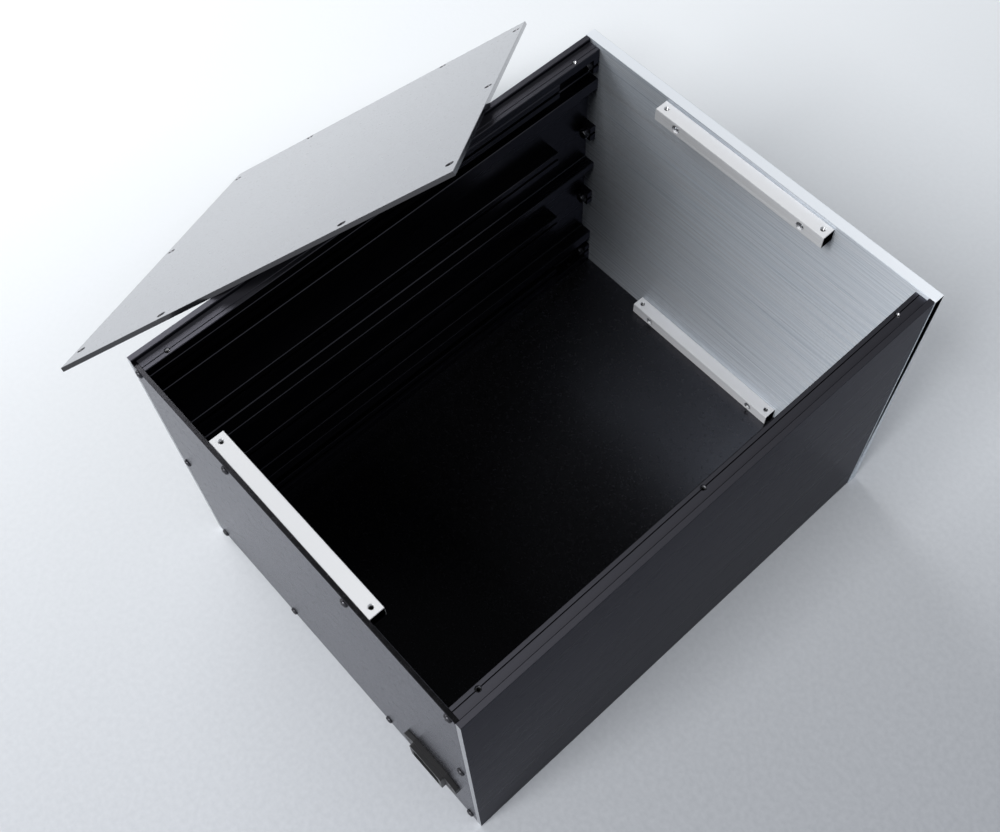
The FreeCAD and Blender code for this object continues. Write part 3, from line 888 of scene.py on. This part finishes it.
@dataclass
class Fasteners:
    """All screws whose heads can be seen, each modelled once and copied into its places."""

    finishes: Finishes
    m4_cap: ScrewForm = ScrewForm(
        3.5 * MM, 4.0 * MM, 1.95 * MM, 3.0 * MM, 2.0 * MM, knurls=24
    )
    m3_cap: ScrewForm = ScrewForm(
        2.75 * MM, 3.0 * MM, 1.45 * MM, 2.5 * MM, 1.3 * MM, knurls=24
    )
    m3_button: ScrewForm = ScrewForm(
        2.85 * MM, 1.65 * MM, 1.45 * MM, 2.0 * MM, 1.0 * MM, crown=0.5
    )
    m3_flat: ScrewForm = ScrewForm(
        2.9 * MM, 1.45 * MM, 1.45 * MM, 2.0 * MM, 1.1 * MM, countersunk=True
    )

    def sets(self) -> list[ScrewSet]:
        """Lists the groups of screws."""
        oxide = ("black_oxide_steel", "black_steel")
        zinc = ("zinc_plated_steel", "zinc_steel")
        rear = ("rear_side_screws_left", "rear_side_screws_right")
        bars = ("rear_top_bar_screws", "rear_bottom_bar_screws")
        groups = []
        for side in ("left", "right"):
            groups.append(ScrewSet(f"front_side_screws_{side}", self.m4_cap, Facing.REAR, *oxide))
        for node in ("front_top_bar_screws", "front_bottom_bar_screws"):
            groups.append(ScrewSet(node, self.m3_cap, Facing.REAR, *zinc))
        for node in rear + bars:
            groups.append(ScrewSet(node, self.m3_button, Facing.REAR, *oxide))
        for node in ("base_side_screws", "base_bar_screws"):
            groups.append(ScrewSet(node, self.m3_flat, Facing.DOWN, *oxide))
        groups.append(ScrewSet("inlet_screws", self.m3_flat, Facing.REAR, *oxide))
        return groups

    def build(self, nodes: dict[str, bpy.types.Object]) -> None:
        """Models every group and puts it in place of its node.

        Args:
            nodes: the frame's nodes by name.
        """
        for group in self.sets():
            piece = self._group(group, Workbench.islands(nodes[group.node]))
            piece.data.materials.clear()
            piece.data.materials.append(self.finishes.get(group.finish))
            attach(piece, "root")
            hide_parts(group.node)
            LOG.info("%s: %d faces", piece.name, len(piece.data.polygons))

    def _group(self, group: ScrewSet, boxes: list[tuple[Vector, Vector]]) -> bpy.types.Object:
        """Models one screw, copies it to each box and joins the copies.

        Args:
            group: what to build.
            boxes: the box of each screw.

        Returns:
            The group as one piece.
        """
        low, high = boxes[0]
        along = 1 if group.facing is Facing.REAR else 2
        first = group.form.build(f"{group.node}_heads", high[along] - low[along])
        copies = []
        for number, (low, high) in enumerate(boxes):
            mesh = first.data.copy()
            middle = (low + high) / 2.0
            turn = Euler((0.0, 0.0, math.radians(17.0 * number))).to_matrix().to_4x4()
            if group.facing is Facing.REAR:
                aim = Euler((math.radians(-90.0), 0.0, 0.0)).to_matrix().to_4x4()
                place = Vector((middle.x, high.y, middle.z))
            else:
                aim = Euler((math.radians(180.0), 0.0, 0.0)).to_matrix().to_4x4()
                place = Vector((middle.x, middle.y, low.z))
            mesh.transform(aim @ turn)
            mesh.transform(Matrix.Translation(place))
            copy = bpy.data.objects.new(f"{group.node}_{number}", mesh)
            bpy.context.scene.collection.objects.link(copy)
            copies.append(copy)
        bpy.data.objects.remove(first)
        return Workbench.join(copies, f"{group.node}_heads")


@dataclass
class Threads:
    """The threads of the open tapped holes in the bars and along the ledges."""

    finishes: Finishes
    outer_radius: float = 1.49 * MM
    crest_radius: float = 1.25 * MM
    pitch: float = 0.5 * MM
    mouth: float = 0.4 * MM
    steps: int = 24
    upper_bar_turns: int = 18
    lower_bar_turns: int = 7
    ledge_turns: int = 10
    ledge_inset: float = 10.0 * MM
    end_inset: float = 20.0 * MM

    def build(self, mounts: list[dict]) -> None:
        """Models the threads of every open hole.

        Args:
            mounts: the record's mounts, which give the holes of the upper bars.
        """
        upper = [mount for mount in mounts if "bar_hole" in mount["name"]]
        for row in ("front", "rear"):
            xs = sorted(m["pos_m"][0] for m in upper if m["name"].startswith(row))
            for level, turns in (("top", self.upper_bar_turns), ("bottom", self.lower_bar_turns)):
                low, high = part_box(f"{row}_{level}_bar")
                middle = (low[1] + high[1]) / 2.0
                places = [(x, middle, high[2]) for x in xs]
                self._set(f"{row}_{level}_bar_threads", places, turns)
        for side, sign in (("left", -1.0), ("right", 1.0)):
            low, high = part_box(f"side_panel_{side}")
            outer = low[0] if sign < 0.0 else high[0]
            x = outer - sign * self.ledge_inset
            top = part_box("front_top_bar")[1][2]
            middle = (low[1] + high[1]) / 2.0
            ys = (low[1] + self.end_inset, middle, high[1] - self.end_inset)
            places = [(x, y, top) for y in ys]
            self._set(f"{side}_ledge_threads", places, self.ledge_turns)

    def _set(self, name: str, places: list[Point], turns: int) -> None:
        """Models one thread and copies it under each hole's mouth.

        Args:
            name: the piece's name.
            places: the middle of each hole's mouth.
            turns: how many turns each thread has.
        """
        first = self._thread(name, turns)
        copies = []
        for number, place in enumerate(places):
            mesh = first.data.copy()
            drop = Vector((0.0, 0.0, -self.mouth - (turns + 1) * self.pitch))
            mesh.transform(Matrix.Translation(Vector(place) + drop))
            copy = bpy.data.objects.new(f"{name}_{number}", mesh)
            bpy.context.scene.collection.objects.link(copy)
            copies.append(copy)
        bpy.data.objects.remove(first)
        piece = Workbench.join(copies, name)
        piece.data.materials.clear()
        piece.data.materials.append(self.finishes.get("bare_thread"))
        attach(piece, "root")
        LOG.info("%s: %d faces", piece.name, len(piece.data.polygons))

    def _thread(self, name: str, turns: int) -> bpy.types.Object:
        """Sweeps a triangular ridge up a helix that starts at height 0.

        Args:
            name: the piece's name.
            turns: how many turns it makes.

        Returns:
            The closed thread.
        """
        Workbench.clear()
        bpy.ops.mesh.primitive_circle_add(vertices=3, radius=self.pitch, fill_type="NOTHING")
        thread = bpy.context.object
        thread.name = name
        corners = ((self.outer_radius, 0.0), (self.crest_radius, 0.5), (self.outer_radius, 1.0))
        for vertex, (radius, share) in zip(thread.data.vertices, corners):
            vertex.co = (radius, 0.0, share * self.pitch)
        sweep = thread.modifiers.new("thread", "SCREW")
        sweep.axis = "Z"
        sweep.steps = self.steps
        sweep.render_steps = self.steps
        sweep.iterations = turns
        sweep.screw_offset = self.pitch
        sweep.use_merge_vertices = False
        bpy.ops.object.modifier_apply(modifier=sweep.name)
        bpy.ops.object.mode_set(mode="EDIT")
        bpy.ops.mesh.select_all(action="SELECT")
        bpy.ops.mesh.fill_holes(sides=3)
        bpy.ops.mesh.select_all(action="SELECT")
        bpy.ops.mesh.normals_make_consistent(inside=False)
        bpy.ops.object.mode_set(mode="OBJECT")
        return thread


# ---------------------------------------------------------------- studio and camera


@dataclass
class Studio:
    """A pale floor, soft light and the camera."""

    floor_size: float = 6.0
    # Painted light on the floor: along this direction, its colour runs from painted shade to painted
    # light.
    painted_light_toward: Point = (0.90, -0.44, 0.0)
    painted_shade_at: float = -0.32
    painted_light_at: float = 0.45
    painted_shade_floor: Colour = (0.50, 0.52, 0.56, 1.0)
    painted_shade_speck_floor: Colour = (0.56, 0.58, 0.62, 1.0)
    painted_light_floor: Colour = (0.92, 0.95, 0.98, 1.0)
    camera_place: Point = (-0.28837, 0.26141, 0.85375)
    camera_turn: Point = (29.007, 1.043, -132.422)
    lens: float = 45.77
    shift: tuple[float, float] = (-0.0161, -0.0114)

    def build(self) -> None:
        """Adds the floor, the lights, the world and the camera."""
        self._floor()
        self._world()
        self._lamp("window", (2.3, -0.1, 1.8), (0.2, 0.0, 0.1), (1.8, 1.4), 38.0)
        self._lamp("key", (-0.1, 2.0, 2.6), (0.0, -0.1, 0.1), (1.1, 1.4), 62.0)
        self._camera()

    def _floor(self) -> None:
        """A broad floor whose pale colour drifts from light grey to cool white: painted light,
        brighter toward the window lamp, with painted shade away from it.
        """
        bpy.ops.object.select_all(action="DESELECT")
        bpy.ops.mesh.primitive_plane_add(size=self.floor_size, location=(0.0, 0.0, 0.0))
        floor = bpy.context.object
        floor.name = "floor"
        sheet = MaterialSheet("pale_floor")
        fine = sheet.tree.nodes.new("ShaderNodeTexNoise")
        fine.inputs["Scale"].default_value = 260.0
        fine.inputs["Detail"].default_value = 3.0
        sheet.link(sheet.position, fine.inputs["Vector"])
        along = sheet.tree.nodes.new("ShaderNodeVectorMath")
        along.operation = "DOT_PRODUCT"
        along.inputs[1].default_value = self.painted_light_toward
        sheet.link(sheet.position, along.inputs[0])
        # Painted light: the floor's colour is lighter toward the lamp side and darker away from it.
        painted_light_drift = sheet.tree.nodes.new("ShaderNodeMapRange")
        painted_light_drift.inputs["From Min"].default_value = self.painted_shade_at
        painted_light_drift.inputs["From Max"].default_value = self.painted_light_at
        sheet.link(along.outputs["Value"], painted_light_drift.inputs["Value"])
        broad = sheet.mix_colour(painted_light_drift.outputs["Result"], self.painted_shade_floor, self.painted_light_floor)
        brighter = sheet.mix_colour(painted_light_drift.outputs["Result"], self.painted_shade_speck_floor, self.painted_light_floor)
        colour = sheet.mix_colour(sheet.ramp(fine.outputs["Fac"], 0.0, 1.0), broad, brighter)
        sheet.link(colour, sheet.shader.inputs["Base Color"])
        sheet.set(Roughness=0.5, Specular_IOR_Level=0.3)
        sheet.bump(fine.outputs["Fac"], 0.0001)
        floor.data.materials.append(sheet.material)

    @staticmethod
    def _world() -> None:
        """A white surround with a dark ceiling panel, which black gloss surfaces mirror."""
        world = bpy.data.worlds.new("surround")
        world.use_nodes = True
        tree = world.node_tree
        background = tree.nodes["Background"]
        background.inputs["Color"].default_value = (0.93, 0.96, 1.0, 1.0)
        coords = tree.nodes.new("ShaderNodeTexCoord")
        toward = tree.nodes.new("ShaderNodeVectorMath")
        toward.operation = "DOT_PRODUCT"
        toward.inputs[1].default_value = (0.30, -0.27, 0.915)
        tree.links.new(coords.outputs["Generated"], toward.inputs[0])
        fade = tree.nodes.new("ShaderNodeMapRange")
        fade.interpolation_type = "SMOOTHSTEP"
        fade.inputs["From Min"].default_value = 0.55
        fade.inputs["From Max"].default_value = 0.86
        fade.inputs["To Min"].default_value = 0.6
        fade.inputs["To Max"].default_value = 0.02
        tree.links.new(toward.outputs["Value"], fade.inputs["Value"])
        tree.links.new(fade.outputs["Result"], background.inputs["Strength"])
        bpy.context.scene.world = world

    @staticmethod
    def _lamp(name: str, place: Point, aim: Point, size: tuple[float, float], power: float) -> None:
        """Adds one soft rectangular lamp.

        Args:
            name: the lamp's name.
            place: its position in metres.
            aim: the point that it faces.
            size: its width and height in metres.
            power: its power in watts.
        """
        data = bpy.data.lights.new(name, "AREA")
        data.shape = "RECTANGLE"
        data.size, data.size_y = size
        data.energy = power
        lamp = bpy.data.objects.new(name, data)
        lamp.location = place
        lamp.rotation_euler = (Vector(aim) - Vector(place)).to_track_quat("-Z", "Y").to_euler()
        bpy.context.scene.collection.objects.link(lamp)

    def _camera(self) -> None:
        """The camera, above and behind the chassis."""
        data = bpy.data.cameras.new("camera")
        data.lens = self.lens
        data.shift_x, data.shift_y = self.shift
        camera = bpy.data.objects.new("camera", data)
        camera.location = self.camera_place
        camera.rotation_euler = Euler([math.radians(angle) for angle in self.camera_turn])
        bpy.context.scene.collection.objects.link(camera)
        bpy.context.scene.camera = camera


def main() -> None:
    """Dresses the chassis and sets the studio up."""
    logging.basicConfig(level=logging.INFO, format="%(message)s")
    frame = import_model()
    bpy.context.scene.view_settings.view_transform = "Standard"
    effects = Effects()
    rear_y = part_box("side_panel_left")[1][1]
    finishes = Finishes(effects, rear_y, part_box("side_panel_left")[1][2])
    Enclosure(finishes).dress(frame["nodes"])
    Fasteners(finishes).build(frame["nodes"])
    Threads(finishes).build(frame["record"]["mounts"])
    Studio().build()


if __name__ == "__main__":
    main()
